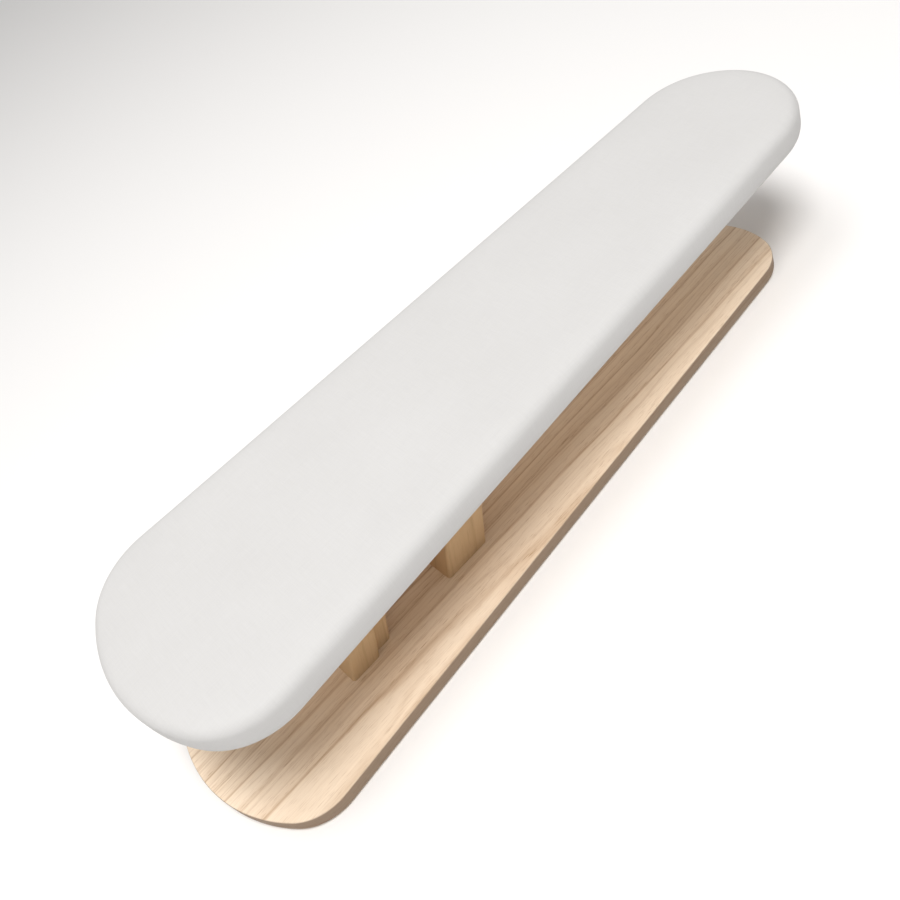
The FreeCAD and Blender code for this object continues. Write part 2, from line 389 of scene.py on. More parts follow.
def thread_finish(name, colour, shade):
    """Twisted sewing thread: fine slanting strands."""
    finish = Finish(name)
    strands = finish.noise((4200.0, 4200.0, 1800.0), detail=1.0)
    tint = finish.blend(strands, shade, colour)
    return finish.done(Base_Color=tint, Roughness=0.6 + strands * 0.2, Normal=finish.bump(strands, 0.00004))


def metal(name, bright, dull, roughness, spangle):
    """Zinc-plated steel: soft crystals of two brightnesses, fine scratches and a few dull spots."""
    finish = Finish(name)
    crystals = finish.noise((spangle, spangle, spangle))
    scratches = finish.noise((400.0, 5200.0, 5200.0), detail=1.0)
    dullness = finish.ramp(crystals * 0.6 + scratches * 0.4, [(0.3, 0.0), (0.75, 1.0)])
    return finish.done(Base_Color=finish.blend(dullness, bright, dull), Metallic=1 - dullness * 0.15,
                       Roughness=roughness + dullness * 0.22, Normal=finish.bump(scratches, 0.00002))


pad_foam = foam_finish("pad_foam")
hem_thread = thread_finish("hem_thread", (0.80, 0.79, 0.77), (0.58, 0.57, 0.55))
staple_wire = metal("bright_wire", (0.72, 0.73, 0.74), (0.46, 0.47, 0.48), 0.28, 900.0)
screw_steel = metal("zinc_steel", (0.70, 0.71, 0.72), (0.38, 0.39, 0.40), 0.32, 600.0)
print("finishes:", [each.name for each in (cover_cotton, pad_foam, hem_thread, staple_wire, screw_steel)])

# %% [markdown]
# ## The outline of a board
# Both boards have the same kind of outline: two straight sides that taper, and at each end a wide nose
# arc between two tighter shoulder arcs. Everything is tangent, so moving each point inwards along its
# own normal gives the outline of an edge round, a hem or a row of stitches. A station is a point with
# its outward normal, and the stations are closer together round the ends, where the shape turns.

# %% Stations round a board
class Outline:
    """A tapered board's outline in millimetres, as stations that run counterclockwise from the wide tip.
    Each end is the radius of its shoulders and how far its nose bulges past them."""

    def __init__(self, wide_tip, narrow_tip, half_wide, half_narrow, wide_end, narrow_end):
        self.tips = wide_tip, narrow_tip
        self.half_wide = half_wide
        self.slope = (half_wide - half_narrow) / (narrow_tip - wide_tip)
        self.side_angle = math.atan2(1, self.slope)
        self.wide_arcs = self.arcs(wide_tip, 1, *wide_end)
        self.narrow_arcs = self.arcs(narrow_tip, -1, *narrow_end)

    def arcs(self, tip, inward, shoulder, bulge):
        """An end's nose and shoulder arcs, each as centre, radius and the two angles it runs between."""
        depth = shoulder + bulge
        x = tip + inward * depth
        side = self.half_wide - self.slope * (x - self.tips[0])
        y = side - shoulder * math.hypot(1, self.slope)
        nose = (depth ** 2 + y ** 2 - shoulder ** 2) / (2 * bulge)
        nose_x = tip + inward * nose
        join = math.atan2(y, x - nose_x)
        tip_angle = math.pi if inward > 0 else 0.0
        return [((nose_x, 0.0), nose, tip_angle, join), ((x, y), shoulder, join, self.side_angle)]

    def arc_stations(self, arc, step):
        (x, y), radius, first, last = arc
        count = max(2, round(abs(last - first) * radius / step))
        angles = [first + (last - first) * index / count for index in range(count)]
        return [(Vector((x + radius * math.cos(a), y + radius * math.sin(a))),
                 Vector((math.cos(a), math.sin(a))), 1.0) for a in angles]

    def stations(self, straight_step, round_step):
        """Stations all round: each has its point, its outward normal and 1 on an arc or 0 on a side."""
        wide, narrow = [[station for arc in arcs for station in self.arc_stations(arc, round_step)]
                        for arcs in (self.wide_arcs, self.narrow_arcs)]
        normal = Vector((math.cos(self.side_angle), math.sin(self.side_angle)))
        start, end = [Vector(arcs[1][0]) + normal * arcs[1][1] for arcs in (self.wide_arcs, self.narrow_arcs)]
        count = round((end - start).length / straight_step)
        side = [(start.lerp(end, index / count), normal, float(index in (0, count)))
                for index in range(count + 1)]
        half = wide + side + narrow[::-1]
        mirrored = [(Vector((p.x, -p.y)), Vector((n.x, -n.y)), bend) for p, n, bend in half]
        return mirrored + half[-2:0:-1]


def at(station, inset, z):
    """The point at this height, moved inwards from a station."""
    point, normal, _ = station
    return Vector((*(point - normal * inset), z))


TOP_TIPS = [corner[0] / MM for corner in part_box("cover")]
BASE_TIPS = [corner[0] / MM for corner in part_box("base_board")]
TOP = Outline(*TOP_TIPS, half_wide=99.2, half_narrow=61.6, wide_end=(60.5, 9.0), narrow_end=(57.8, 2.4))
BASE = Outline(*BASE_TIPS, half_wide=94.3, half_narrow=45.3, wide_end=(42.5, 16.0), narrow_end=(35.0, 2.5))
for name, outline in (("cover", TOP), ("base_board", BASE)):
    reach = max(point.y for point, _, _ in outline.stations(5, 3))
    print(name, "is", round(2 * reach, 2), "mm wide, in the frame", round(2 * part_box(name)[1][1] / MM, 2))

# %% [markdown]
# ## Skins from rings
# A board with rounded edges is a stack of rings: each is the outline at some inset and height, and
# strips of quads join one ring to the next. The flat faces are single polygons. Right beside each
# rounded edge lies one more ring, so the smooth shading turns only at the round and the flats stay flat.

# %% Rings, strips and finished pieces
def strips(mesh, rings):
    """Joins rings of mesh vertices with strips of quads; they run outwards over the top and down."""
    for inner, outer in zip(rings, rings[1:]):
        for index in range(len(inner)):
            after = (index + 1) % len(inner)
            mesh.faces.new((inner[index], outer[index], outer[after], inner[after]))


def quarter(radius, steps):
    """A quarter round as (run, rise) pairs from the flat to the wall."""
    angles = [math.pi / 2 * index / steps for index in range(steps + 1)]
    return [(radius * (1 - math.sin(a)), radius * (1 - math.cos(a))) for a in angles]


def smooth(data, under):
    """Smooth shading, except across edges sharper than some degrees."""
    data.shade_smooth()
    data.set_sharp_from_angle(angle=math.radians(under))


def finished(name, mesh, finish, smooth_under=40):
    """Makes a piece from a bmesh in millimetres, smooth except across sharp edges."""
    bmesh.ops.scale(mesh, vec=(MM, MM, MM), verts=mesh.verts)
    data = bpy.data.meshes.new(name)
    mesh.to_mesh(data)
    mesh.free()
    data.materials.append(finish)
    smooth(data, smooth_under)
    piece = bpy.data.objects.new(name, data)
    scene.collection.objects.link(piece)
    return piece


def plain_copy(piece, name):
    """The piece with its modifiers worked out, as a plain mesh on a new object; the old one goes."""
    evaluated = piece.evaluated_get(bpy.context.evaluated_depsgraph_get())
    data = bpy.data.meshes.new_from_object(evaluated)
    data.name = name
    bpy.data.objects.remove(piece)
    copy = bpy.data.objects.new(name, data)
    scene.collection.objects.link(copy)
    return copy


def hand_over(piece, slot, *replaced):
    """Hangs a piece on the frame's root body, hides the nodes it stands for and prints its finish slot."""
    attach(piece, "root")
    if replaced:
        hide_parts(*replaced)
    piece.data.calc_loop_triangles()
    print(piece.name + ":", len(piece.data.loop_triangles), "triangles, finish", slot)


# %% [markdown]
# ## Base board
# The base is one flat board, barely eased above and more rounded below, where hands pick it up. Its
# underside has four countersunk holes, where the screws go up into the legs. Booleans often leave untidy
# meshes, but here they cut only flat polygons with four small cutters, and the smooth shading is limited
# by angle, so the result stays clean.

# %% Make the base board
BASE_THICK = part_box("base_board")[1][2] / MM
UPPER_EASE = 0.9
LOWER_EASE = 3.5
SUPPORT = 0.4                  # from a rounded edge to the ring that keeps the flat face flat
SCREW_SUNK = 0.4
SCREW_HEAD = 4.0
SCREW_HEAD_DEEP = 2.4
SCREW_REACH = 12.0             # wider than a head and narrower than the gap between two screws
WELL = SCREW_HEAD + 0.15
SHANK_HOLE = 2.2
PAST = 1.0                     # how far a cutter stands past the face it cuts


def board_mesh(outline, inset, low, high, upper_ease, lower_ease):
    """A flat board between two heights, its edges rounded above and below."""
    stations = outline.stations(12, 2.2)
    profile = [(upper_ease + SUPPORT, high)]
    profile += [(run, high - drop) for run, drop in quarter(upper_ease, 5)]
    profile += [(run, low + rise) for run, rise in quarter(lower_ease, 6)[::-1]]
    profile += [(lower_ease + SUPPORT, low)]
    mesh = bmesh.new()
    rings = [[mesh.verts.new(at(station, inset + run, z)) for station in stations] for run, z in profile]
    strips(mesh, rings)
    mesh.faces.new(rings[0])
    mesh.faces.new(rings[-1][::-1])
    return mesh


def screw_places(node):
    """Each upright screw of a node, as x, y, lowest and highest, in millimetres."""
    groups = []
    for vert in nodes[node].data.vertices:
        spot = vert.co / MM
        group = next((group for group in groups if (group[0] - spot).xy.length < SCREW_REACH), None)
        if group is None:
            group = []
            groups.append(group)
        group.append(spot)
    places = []
    for group in groups:
        (west, east), (front, back), (low, high) = [(min(row), max(row)) for row in zip(*group)]
        places.append(((west + east) / 2, (front + back) / 2, low, high))
    return places


def bores(places, levels):
    """Wells, seats and shank holes as one mesh, from (height, radius) pairs that run from the top down."""
    mesh = bmesh.new()
    for x, y, _, _ in places:
        rings = [[mesh.verts.new((x + radius * math.cos(a), y + radius * math.sin(a), z))
                  for a in [math.tau * index / 40 for index in range(40)]] for z, radius in levels]
        strips(mesh, rings)
        mesh.faces.new(rings[0])
        mesh.faces.new(rings[-1][::-1])
    return mesh


def drilled_board(name, mesh, finish, cutter_mesh):
    """The board less its screw holes, as a plain mesh."""
    board = finished("board", mesh, finish)
    cutter = finished("cutter", cutter_mesh, finish)
    drill = board.modifiers.new("drill", "BOOLEAN")
    drill.operation = "DIFFERENCE"
    drill.solver = "EXACT"
    drill.object = cutter
    piece = plain_copy(board, name)
    bpy.data.objects.remove(cutter)
    piece.data.set_sharp_from_angle(angle=math.radians(35))
    return piece


base_screw_places = screw_places("base_screws")
base_bores = bores(base_screw_places, [
    (BASE_THICK + PAST, SHANK_HOLE), (SCREW_SUNK + SCREW_HEAD_DEEP, SHANK_HOLE),
    (SCREW_SUNK, WELL), (-PAST, WELL)])
base_mesh = board_mesh(BASE, 0.0, 0.0, BASE_THICK, UPPER_EASE, LOWER_EASE)
base = drilled_board("base_board_wood", base_mesh, base_wood, base_bores)
hand_over(base, "base_wood", "base_board")
print("screw axes:", [(round(x, 1), round(y, 1)) for x, y, _, _ in base_screw_places])

# %% [markdown]
# ## Growing shapes with Geometry Nodes
# What follows a rule, or repeats, is made by Geometry Nodes. `Recipe` is a tree with named inputs for
# its sizes. A modifier runs it, its sizes are set by socket identifier, and the result is turned into a
# plain mesh, because exporters drop instances.

# %% A Geometry Nodes tree written in Python
class Recipe(Graph):
    """A Geometry Nodes tree under construction."""

    def __init__(self, name, sizes):
        super().__init__(bpy.data.node_groups.new(name + "_recipe", "GeometryNodeTree"))
        self.name = name
        new_socket = self.tree.interface.new_socket
        for way in ("INPUT", "OUTPUT"):
            new_socket("Geometry", in_out=way, socket_type="NodeSocketGeometry")
        self.sizes = {new_socket(key, in_out="INPUT", socket_type="NodeSocketFloat").identifier: value
                      for key, value in sizes.items()}
        self.entrance = self.tree.nodes.new("NodeGroupInput")
        self.source = self.size("Geometry")

    def size(self, key):
        """One of the tree's named inputs."""
        return Signal(self, find_socket(self.entrance.outputs, key))

    def shape(self, kind, inputs=None, out=0, **settings):
        """Adds a Geometry Nodes node by its short name."""
        return self.node("GeometryNode" + kind, settings, inputs, out)

    def vector(self, x=0.0, y=0.0, z=0.0):
        return self.node("ShaderNodeCombineXYZ", inputs={"X": x, "Y": y, "Z": z})

    def join(self, shapes):
        return self.shape("JoinGeometry", {"Geometry": shapes})

    def welded(self, shapes):
        return self.shape("MergeByDistance", {"Geometry": self.join(shapes), "Distance": 1e-6})

    def rounded(self, line, radius, count):
        return self.shape("FilletCurve", {"Curve": line, "Radius": radius, "Count": count}, mode="POLY")

    def eased_section(self, width, height, ease, count):
        """A rectangle with rounded corners."""
        corners = self.shape("CurvePrimitiveQuadrilateral", {"Width": width, "Height": height})
        return self.rounded(corners, ease, count)

    def circle(self, radius, sides):
        return self.shape("CurvePrimitiveCircle", {"Resolution": sides, "Radius": radius}, out="Curve")

    def sweep(self, line, section):
        """A section swept along a line, with its ends closed."""
        return self.shape("CurveToMesh", {"Curve": line, "Profile Curve": section, "Fill Caps": True})

    def cone(self, sides, low_radius, top_radius, height):
        return self.shape("MeshCone", {"Vertices": sides, "Radius Bottom": low_radius, "Depth": height,
                                       "Radius Top": top_radius}, out="Mesh", fill_type="NGON")

    def raise_by(self, geometry, height):
        return self.shape("Transform", {"Geometry": geometry, "Translation": self.vector(z=height)})

    def grow(self, geometry, finish, source):
        """Ends the tree, runs it on a source mesh and returns the result as a plain piece."""
        real = self.shape("RealizeInstances", {"Geometry": geometry})
        painted = self.shape("SetMaterial", {"Geometry": real, "Material": finish})
        leave = self.tree.nodes.new("NodeGroupOutput")
        self.feed(leave.inputs[0], painted)
        carrier = bpy.data.objects.new("carrier", source)
        scene.collection.objects.link(carrier)
        modifier = carrier.modifiers.new("recipe", "NODES")
        modifier.node_group = self.tree
        for identifier, value in self.sizes.items():
            modifier[identifier] = value
        piece = plain_copy(carrier, self.name)
        smooth(piece.data, 40)
        return piece


# %% [markdown]
# ## Legs
# Both legs lean the same way and are cut level at foot and head. A leg is a rule: draw its level
# section, round the corners, fill it, and drag it up along the lean. The leg near the wide end is two
# staves glued face to face, and the second stands back a little at both sides.

# %% Make the legs
LEG_EASE = 0.0026
LEG_LEAN = math.radians(20)


def leg(name, node):
    """A leaning leg, grown from the rectangle of its node's foot."""
    low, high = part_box(node)
    rise = high[2] - low[2]
    shift = rise * math.tan(LEG_LEAN)
    width = high[0] - low[0] - shift
    recipe = Recipe(name, {"Width": width, "Depth": high[1] - low[1], "Rise": rise, "Shift": shift,
                           "Ease": LEG_EASE})
    size = recipe.size
    eased = recipe.eased_section(size("Width"), size("Depth"), size("Ease"), 5)
    foot = recipe.shape("FillCurve", {"Curve": eased}, mode="NGONS")
    raised = recipe.shape("ExtrudeMesh", {
        "Mesh": foot, "Offset": recipe.vector(size("Shift"), 0.0, size("Rise")), "Offset Scale": 1.0,
        "Individual": False})
    sole = recipe.shape("FlipFaces", {"Mesh": foot})
    closed = recipe.welded([raised, sole])
    placed = recipe.shape("Transform", {
        "Geometry": closed, "Translation": (low[0] + width / 2, (low[1] + high[1]) / 2, low[2])})
    piece = recipe.grow(placed, leg_wood, bpy.data.meshes.new(name + "_source"))
    hand_over(piece, "leg_wood", node)


for node in ("wide_end_leg", "backing_stave", "narrow_side_leg"):
    leg(node + "_wood", node)

# %% [markdown]
# ## Core board
# The board inside the padded top shows only from below, inside the hem. It follows the pad's own
# outline, set in by the thickness of the foam at the sides, so it uses the base board's recipe again.
# Its screws come down from above, so their seats are in its upper face, under the foam.

# %% Build the core board
CORE_INSET = 6.4
CORE_EASE = 0.8
CORE_LOW, CORE_TOP = [corner[2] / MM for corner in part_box("top_board")]
top_screw_places = screw_places("top_screws")
head_top = top_screw_places[0][3]
core_bores = bores(top_screw_places, [
    (CORE_TOP + PAST, WELL), (head_top, WELL),
    (head_top - SCREW_HEAD_DEEP, SHANK_HOLE), (CORE_LOW - PAST, SHANK_HOLE)])
core_mesh = board_mesh(TOP, CORE_INSET, CORE_LOW, CORE_TOP, CORE_EASE, CORE_EASE)
core = drilled_board("core_board_wood", core_mesh, core_wood, core_bores)
hand_over(core, "core_wood", "top_board")
print("core board:", round(CORE_LOW, 2), "to", round(CORE_TOP, 2), "mm, screw heads at", round(head_top, 2))

# %% [markdown]
# ## Cotton cover
# The cover is one cloth: flat on top, rolled over the foam's edge, pulled down the side, turned under
# and stapled. It could be a smooth lofted shell, but stretched cloth is never perfectly regular. So the
# shell is only the start. Its flat part is filled with evenly spaced triangles, since they wrinkle the
# same way in every direction, and a short cloth simulation with a little air pressure settles it while
# its turned-in hem is pinned. A cap on each point's travel keeps the pad as flat as firm foam is.
# Round the ends the hem has too much cloth for its shorter inner edge, so it lies in small pleats.

# %% The cover's shape before it settles
PAD_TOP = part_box("cover")[1][2] / MM
HEM_LEVEL = 103.1
EDGE_ROUND = 9.0
LOWER_ROUND = 8.5
START_SMALLER = 0.7            # the cover starts this much inside its place, because it swells
TURN_INSET = 23.4              # where the doubled edge of the hem begins
TURN_STEP = 0.5
STAPLE_INSET = 20.0
HEM_INSETS = (10.0, 12.5, 15.0, 18.0, STAPLE_INSET, 22.6)
TURNED_INSETS = (TURN_INSET, 26.5, 30.0)
PINNED_RINGS = len(HEM_INSETS) + len(TURNED_INSETS)
MESH_STEP = 6.5
FILL_REACH = (330, 100)        # from the middle of the board to past its tips and its sides
RIM_GAP = 0.62 * MESH_STEP     # from the rim to the nearest point inside it


def cover_profile():
    """(inset, height, length of cloth from the outline's own line) for each ring, from the top outwards."""
    rounding = [(START_SMALLER + run, PAD_TOP - START_SMALLER - drop)
                for run, drop in quarter(EDGE_ROUND - START_SMALLER, 7)]
    lower = [(START_SMALLER + run, HEM_LEVEL + rise)
             for run, rise in quarter(LOWER_ROUND - START_SMALLER, 4)[::-1]]
    wall_top, wall_low = rounding[-1][1], lower[0][1]
    wall = [(START_SMALLER, wall_top + (wall_low - wall_top) * part) for part in (0.33, 0.67)]
    hem = [(inset, HEM_LEVEL) for inset in HEM_INSETS]
    turned = [(inset, HEM_LEVEL - TURN_STEP) for inset in TURNED_INSETS]
    points = rounding + wall + lower + hem + turned
    length, profile = -EDGE_ROUND, []
    for index, (inset, z) in enumerate(points):
        if index:
            before = points[index - 1]
            length += math.hypot(inset - before[0], z - before[1])
        profile.append((inset, z, length))
    return profile


PLEAT_PITCH = 15.0
PLEAT_DEPTH = 1.3
PLEAT_FOLD = 0.78              # where in its pitch a pleat folds back
PLEAT_RISE = 7.0               # how far in from the lower round a pleat reaches its full depth
PLEAT_WANDER = ((3.0, 23.0, 0.0), (2.0, 9.7, 1.0))       # size, wave and start of each stray from even
PUCKER_PITCH = 40.0
PUCKER_DEPTH = 0.25
STAPLE_PRESS = (0.85, 2.6)     # how much of its depth a pleat loses at the staples, and how far round them


def pleat(along, bend, inset):
    """How far the hem hangs here: pleats round the ends, faint puckers along the sides."""
    rise = min(max((inset - LOWER_ROUND) / PLEAT_RISE, 0.0), 1.0)
    pressed = 1 - STAPLE_PRESS[0] * math.exp(-((inset - STAPLE_INSET) / STAPLE_PRESS[1]) ** 2)
    wander = sum((size * math.sin(along / wave + start) for size, wave, start in PLEAT_WANDER), along)
    phase = (wander / PLEAT_PITCH) % 1.0
    saw = phase / PLEAT_FOLD if phase < PLEAT_FOLD else (1 - phase) / (1 - PLEAT_FOLD)
    pucker = 0.5 - 0.5 * math.cos(math.tau * along / PUCKER_PITCH)
    return rise * pressed * (bend * PLEAT_DEPTH * saw + (1 - bend) * PUCKER_DEPTH * pucker)


def softened(values, rounds):
    """A closed list of numbers, smoothed by averaging neighbours."""
    for _ in range(rounds):
        values = [(before + 2 * here + after) / 4
                  for before, here, after in zip(values[-1:] + values[:-1], values, values[1:] + values[:1])]
    return values


stations = TOP.stations(5.5, 3.0)
bends = softened([station[2] for station in stations], 12)
lengths = [0.0]
for here, after in zip(stations, stations[1:]):
    lengths.append(lengths[-1] + (after[0] - here[0]).length)
profile = cover_profile()
print("cover:", len(stations), "stations,", len(profile), "rings, cloth from the flat to the hem's edge:",
      round(profile[-1][2] - profile[0][2], 1), "mm")

# %% Build the cover's mesh with its flat cut as a UV map
def fill_points(rim):
    """Evenly spaced points inside a closed rim, kept clear of it, in rows of equal triangles."""
    row_step = MESH_STEP * math.sqrt(3) / 2
    count_x, count_y = round(FILL_REACH[0] / MESH_STEP), round(FILL_REACH[1] / row_step)
    points = []
    for row in range(-count_y, count_y + 1):
        for column in range(-count_x, count_x + 1):
            spot = Vector(((column + row % 2 / 2) * MESH_STEP, row * row_step))
            nearest = min(range(len(rim)), key=lambda index: (rim[index] - spot).length_squared)
            if (rim[nearest] - spot).dot(stations[nearest][1]) > RIM_GAP:
                points.append(spot)
    return points


def cover_mesh():
    """The cover's bmesh, with its cut as a UV map in metres, and the indices of the pinned points."""
    mesh = bmesh.new()
    cut, rings = {}, []
    for inset, z, length in profile:
        ring = []
        for station, bend, along in zip(stations, bends, lengths):
            hang = pleat(along, bend, inset) if z <= HEM_LEVEL else 0.0
            vert = mesh.verts.new(at(station, inset, z - hang))
            cut[vert] = station[0] + station[1] * length
            ring.append(vert)
        rings.append(ring)
    strips(mesh, rings)
    rim = [Vector(vert.co[:2]) for vert in rings[0]]
    loop = [(index, (index + 1) % len(rim)) for index in range(len(rim))]
    spots, _, triangles, *_ = delaunay_2d_cdt(rim + fill_points(rim), loop, [], 1, 1e-5)
    inner = [mesh.verts.new((*spot, PAD_TOP - START_SMALLER)) for spot in spots[len(rim):]]
    flat = rings[0] + inner
    for vert in inner:
        cut[vert] = Vector(vert.co[:2])
    for triangle in triangles:
        mesh.faces.new([flat[index] for index in triangle])
    layer = mesh.loops.layers.uv.new("cut")
    for face in mesh.faces:
        for loop in face.loops:
            loop[layer].uv = cut[loop.vert] * MM
    mesh.verts.index_update()
    return mesh, [vert.index for ring in rings[-PINNED_RINGS:] for vert in ring]


mesh, pinned = cover_mesh()
cloth = finished("cloth", mesh, cover_cotton, smooth_under=180)
print("cloth:", len(cloth.data.vertices), "points,", len(pinned), "pinned")

# %% Let the cover settle
SETTLE_FRAMES = 20
TIGHT_COTTON = {"quality": 6, "mass": 0.25, "tension_stiffness": 25, "compression_stiffness": 25,
                "shear_stiffness": 12, "bending_stiffness": 0.6, "use_pressure": True,
                "uniform_pressure_force": 4, "vertex_group_mass": "hold", "pin_stiffness": 1.0}
FOAM_SUPPORT = 0.15            # how firmly the foam holds the cloth in place, from 0 to 1
SWELL = (-0.0003, 0.0016)      # least and most travel along the cloth's own normal
SLIP = 0.0006                  # most travel within the cloth


def run_cloth(piece, pins):
    """Each point's travel in a cloth simulation with air pressure, a springy pad and a pinned hem."""
    group = piece.vertex_groups.new(name="hold")
    group.add(range(len(piece.data.vertices)), FOAM_SUPPORT, "REPLACE")
    group.add(pins, 1.0, "REPLACE")
    start = [vert.co.copy() for vert in piece.data.vertices]
    modifier = piece.modifiers.new("settle", "CLOTH")
    for key, value in TIGHT_COTTON.items():
        setattr(modifier.settings, key, value)
    modifier.settings.effector_weights.gravity = 0
    modifier.point_cache.frame_end = SETTLE_FRAMES
    for frame_number in range(1, SETTLE_FRAMES + 1):
        scene.frame_set(frame_number)
    evaluated = piece.evaluated_get(bpy.context.evaluated_depsgraph_get())
    travels = [vert.co - before for vert, before in zip(evaluated.data.vertices, start)]
    piece.modifiers.remove(modifier)
    scene.frame_set(1)
    return travels


def settle(piece, pins):
    """Moves the cover by its simulated travel, kept between the least and most that firm foam allows."""
    travels = run_cloth(piece, pins)
    normals = [vert.normal.copy() for vert in piece.data.vertices]
    for vert, normal, travel in zip(piece.data.vertices, normals, travels):
        outward = travel.dot(normal)
        slip = travel - normal * outward
        slip *= SLIP / max(slip.length, SLIP)
        vert.co += normal * min(max(outward, SWELL[0]), SWELL[1]) + slip
    outs = sorted(travel.dot(normal) / MM for travel, normal in zip(travels, normals))
    print("settled: outward travel in mm, least", round(outs[0], 2), "middle", round(outs[len(outs) // 2], 2),
          "most", round(outs[-1], 2))


settle(cloth, pinned)

# %% [markdown]
# ## Foam pad
# The foam is hidden under the cover, but it is what the cover rests on. It is taken from the settled
# cover itself, one cloth's thickness further in, so the two can't cross, and closed by a pocket that
# fits over the core board.

# %% Make the foam from the settled cover
CLOTH_THICK = 0.0006
FOAM_GAP = 0.00105             # from the cover's outer face in to the foam
FOAM_RINGS = 13                # the foam ends part of the way round the lower edge
FOAM_LIFT = 1.6                # from the core's lower face up to the foam's lower edge
FOAM_CLEAR = 0.05
CORE_POCKET = CORE_INSET - 0.2


def foam_mesh(piece):
    """The foam as a closed mesh in millimetres: the cover moved in by the gap, then the core's pocket."""
    mesh = bmesh.new()
    mesh.from_mesh(piece.data)
    mesh.verts.ensure_lookup_table()
    mesh.normal_update()
    count = len(stations)
    gone = mesh.verts[FOAM_RINGS * count:len(profile) * count]
    for vert in mesh.verts:
        vert.co = (vert.co - vert.normal * FOAM_GAP) / MM
    bmesh.ops.delete(mesh, geom=gone, context="VERTS")
    mesh.verts.ensure_lookup_table()
    last = mesh.verts[(FOAM_RINGS - 1) * count:FOAM_RINGS * count]
    low = CORE_LOW + FOAM_LIFT
    levels = [(CORE_POCKET, low), (CORE_POCKET, CORE_TOP + FOAM_CLEAR)]
    rings = [list(last)] + [[mesh.verts.new(at(station, inset, z)) for station in stations]
                            for inset, z in levels]
    strips(mesh, rings)
    mesh.faces.new(rings[-1])
    for layer in list(mesh.loops.layers.uv):
        mesh.loops.layers.uv.remove(layer)
    bmesh.ops.recalc_face_normals(mesh, faces=mesh.faces)
    return mesh


foam = finished("foam_padding", foam_mesh(cloth), pad_foam)
hand_over(foam, "foam", "foam_pad")

# %% Finish the cover
# One level of subdivision, then the cloth's own thickness
fullness = cloth.modifiers.new("fullness", "SUBSURF")
fullness.levels = fullness.render_levels = 1
thickness = cloth.modifiers.new("thickness", "SOLIDIFY")
thickness.thickness = CLOTH_THICK
thickness.offset = -1
cover = plain_copy(cloth, "cotton_cover")
hand_over(cover, "cover_cotton", "cover")

# %% [markdown]
# ## Hem stitches
# The hem's raw edge is folded in and held by a row of straight stitches. Each stitch is a short bent
# thread that dips into the cloth at both ends. Geometry Nodes set one on every few millimetres of a
# path that follows the pleats, and turn it along the path.

# %% Sew the hem
STITCH_PITCH = 0.0034
STITCH_LENGTH = 0.0027
STITCH_THICK = 0.00022
STITCH_INSET = 25.0


def path_mesh(name, inset, lift):
    """A closed line of edges along the hem's lower face, in metres."""
    count = len(stations)
    level = HEM_LEVEL - (TURN_STEP if inset >= TURN_INSET else 0.0)
    points = [at(station, inset, level - pleat(along, bend, inset) - lift) * MM
              for station, bend, along in zip(stations, bends, lengths)]
    data = bpy.data.meshes.new(name)
    data.from_pydata(points, [(index, (index + 1) % count) for index in range(count)], [])
    return data


def along_path(recipe, shape, mode, spacing):
    """Sets copies of a shape along the source path, each turned to face along it."""
    entrance = recipe.shape("MeshToCurve", {"Mesh": recipe.source})
    even = recipe.shape("ResampleCurve", {"Curve": entrance, **spacing}, mode=mode)
    tangent = recipe.shape("InputTangent")
    turn = recipe.node("FunctionNodeAlignRotationToVector", {"axis": "X"}, {"Vector": tangent})
    return recipe.shape("InstanceOnPoints", {"Points": even, "Instance": shape, "Rotation": turn})


def sew(name, inset):
    """A row of stitches along the hem, at some inset from the cover's outline."""
    recipe = Recipe(name, {"Pitch": STITCH_PITCH, "Length": STITCH_LENGTH, "Thickness": STITCH_THICK})
    size = recipe.size
    back, half = [size("Length") * share for share in (-0.5, 0.5)]
    rise, dip = [size("Thickness") * share for share in (-1.6, 1.6)]
    bow = recipe.shape("CurveQuadraticBezier", {
        "Resolution": 5, "Start": recipe.vector(back, 0.0, dip), "Middle": recipe.vector(0.0, 0.0, rise),
        "End": recipe.vector(half, 0.0, dip)})
    thread = recipe.sweep(bow, recipe.circle(size("Thickness"), 6))
    copies = along_path(recipe, thread, "LENGTH", {"Length": size("Pitch")})
    return recipe.grow(copies, hem_thread, path_mesh(name + "_path", inset, STITCH_THICK / MM * 0.3))


stitches = sew("hem_stitches", STITCH_INSET)
hand_over(stitches, "cover_cotton")

# %% [markdown]
# ## Staples
# Wire staples hold the hem to the board. A staple is a bent wire: two legs and a crown, with small
# bends between them. Its centre line is three straight lines, welded and rounded at the two corners,
# and a flat section is swept along it.

# %% Drive the staples
STAPLES = 33
CROWN = 0.010
STAPLE_LEG = 0.0066
WIRE_WIDE = 0.0012
WIRE_THICK = 0.0006
WIRE_BEND = 0.0008
WIRE_EASE = 0.00012


def drive_staples(name):
    """Staples along the hem, evenly spaced, with their legs up into the board."""
    recipe = Recipe(name, {"Crown": CROWN, "Leg": STAPLE_LEG, "Wire width": WIRE_WIDE,
                           "Wire thickness": WIRE_THICK})
    size = recipe.size
    half = (size("Crown") - size("Wire thickness")) * 0.5
    back = half * -1.0
    corners = [recipe.vector(x, 0.0, z) for x, z in ((back, size("Leg")), (back, 0.0),
                                                     (half, 0.0), (half, size("Leg")))]
    lines = [recipe.shape("CurvePrimitiveLine", {"Start": start, "End": end})
             for start, end in zip(corners, corners[1:])]
    joined = recipe.welded([recipe.shape("CurveToMesh", {"Curve": line}) for line in lines])
    wire = recipe.rounded(recipe.shape("MeshToCurve", {"Mesh": joined}), WIRE_BEND, 4)
    flat = recipe.eased_section(size("Wire width"), size("Wire thickness"), WIRE_EASE, 2)
    copies = along_path(recipe, recipe.sweep(wire, flat), "COUNT", {"Count": STAPLES})
    return recipe.grow(copies, staple_wire, path_mesh(name + "_path", STAPLE_INSET, WIRE_THICK / MM / 2))


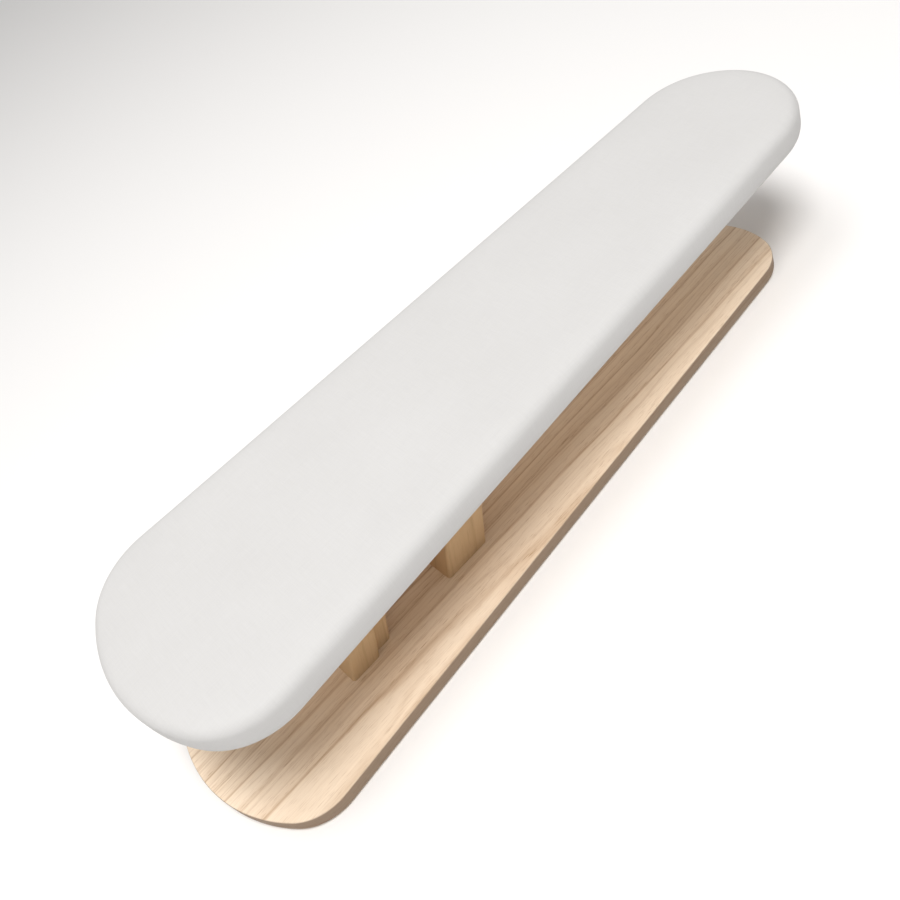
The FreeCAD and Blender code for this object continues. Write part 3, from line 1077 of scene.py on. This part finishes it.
staples = drive_staples("wire_staples")
hand_over(staples, "staple_wire", "cover_staples")

# %% [markdown]
# ## Screws
# Four countersunk screws go up through the base, and four down through the core board under the foam.
# One tree makes them all: a cone for the head with a cross cut into it, a shank with a spiral thread,
# and a point. It grows one on each vertex of a source mesh. The upper screws point down, so the same
# tree is turned over for them.

# %% Drive the screws
SHANK = 0.0017
SCREW_LONG = 0.033
POINT_SHARE = 0.18             # of the length under the head
POINT_TIP = 0.0002
THREAD_TURNS = 15
THREAD_HEIGHT = 0.00032
RECESS = (0.0048, 0.0009, 0.0030)      # length, width and height of each slot of the cross


def drive_screws(name, places, turn):
    """Screws at some places, pointing up, or down where turn is half a circle."""
    recipe = Recipe(name, {"Head": SCREW_HEAD * MM, "Head depth": SCREW_HEAD_DEEP * MM, "Shank": SHANK,
                           "Length": SCREW_LONG, "Recess": RECESS[0]})
    size = recipe.size
    slots = [recipe.shape("MeshCube", {"Size": recipe.vector(*sides)}, out="Mesh")
             for sides in ((size("Recess"), *RECESS[1:]), (RECESS[1], size("Recess"), RECESS[2]))]
    cone = recipe.cone(40, size("Head"), size("Shank"), size("Head depth"))
    head = recipe.shape("MeshBoolean", {"Mesh 1": cone, "Mesh 2": recipe.join(slots)}, out="Mesh",
                        operation="DIFFERENCE", solver="EXACT")
    rod = size("Length") - size("Head depth")
    point = rod * POINT_SHARE
    straight = rod - point
    shank = recipe.shape("MeshCylinder", {"Vertices": 20, "Radius": size("Shank"), "Depth": straight},
                         out="Mesh", fill_type="NGON")
    spiral = recipe.shape("CurveSpiral", {
        "Resolution": 16, "Rotations": float(THREAD_TURNS), "Start Radius": size("Shank"),
        "End Radius": size("Shank"), "Height": straight})
    screw = recipe.join([
        head, recipe.raise_by(shank, size("Head depth") + straight * 0.5),
        recipe.raise_by(recipe.cone(20, size("Shank"), POINT_TIP, point), size("Head depth") + straight),
        recipe.raise_by(recipe.sweep(spiral, recipe.circle(THREAD_HEIGHT, 3)), size("Head depth"))])
    copies = recipe.shape("InstanceOnPoints", {
        "Points": recipe.source, "Instance": screw, "Rotation": (turn, 0.0, 0.0)})
    source = bpy.data.meshes.new(name + "_places")
    source.from_pydata(places, [], [])
    return recipe.grow(copies, screw_steel, source)


upward = [(x * MM, y * MM, low * MM) for x, y, low, _ in base_screw_places]
downward = [(x * MM, y * MM, high * MM) for x, y, _, high in top_screw_places]
base_screws = drive_screws("base_screws_cross", upward, 0.0)
hand_over(base_screws, "screw_steel", "base_screws")
top_screws = drive_screws("top_screws_cross", downward, math.pi)
hand_over(top_screws, "screw_steel", "top_screws")

# %% [markdown]
# ## The cover's cut
# The cover's cut is a tapered piece a hem's width larger all round than the board, held stretched over
# the foam. Its length, width and area are worked out from the outermost ring.

def cut_size():
    """Length, width and area of the cover's flat cut, in metres, from its outermost ring."""
    reach = profile[-1][2]
    rim = [point + normal * reach for point, normal, _ in stations]
    length, width = [(max(row) - min(row)) * MM for row in zip(*rim)]
    area = sum(a.x * b.y - b.x * a.y for a, b in zip(rim, rim[1:] + rim[:1])) / 2
    return length, width, area * MM * MM


length, width, area = cut_size()
print("cut:", round(width, 3), "by", round(length, 3), "m, area", round(area, 4), "square metres")
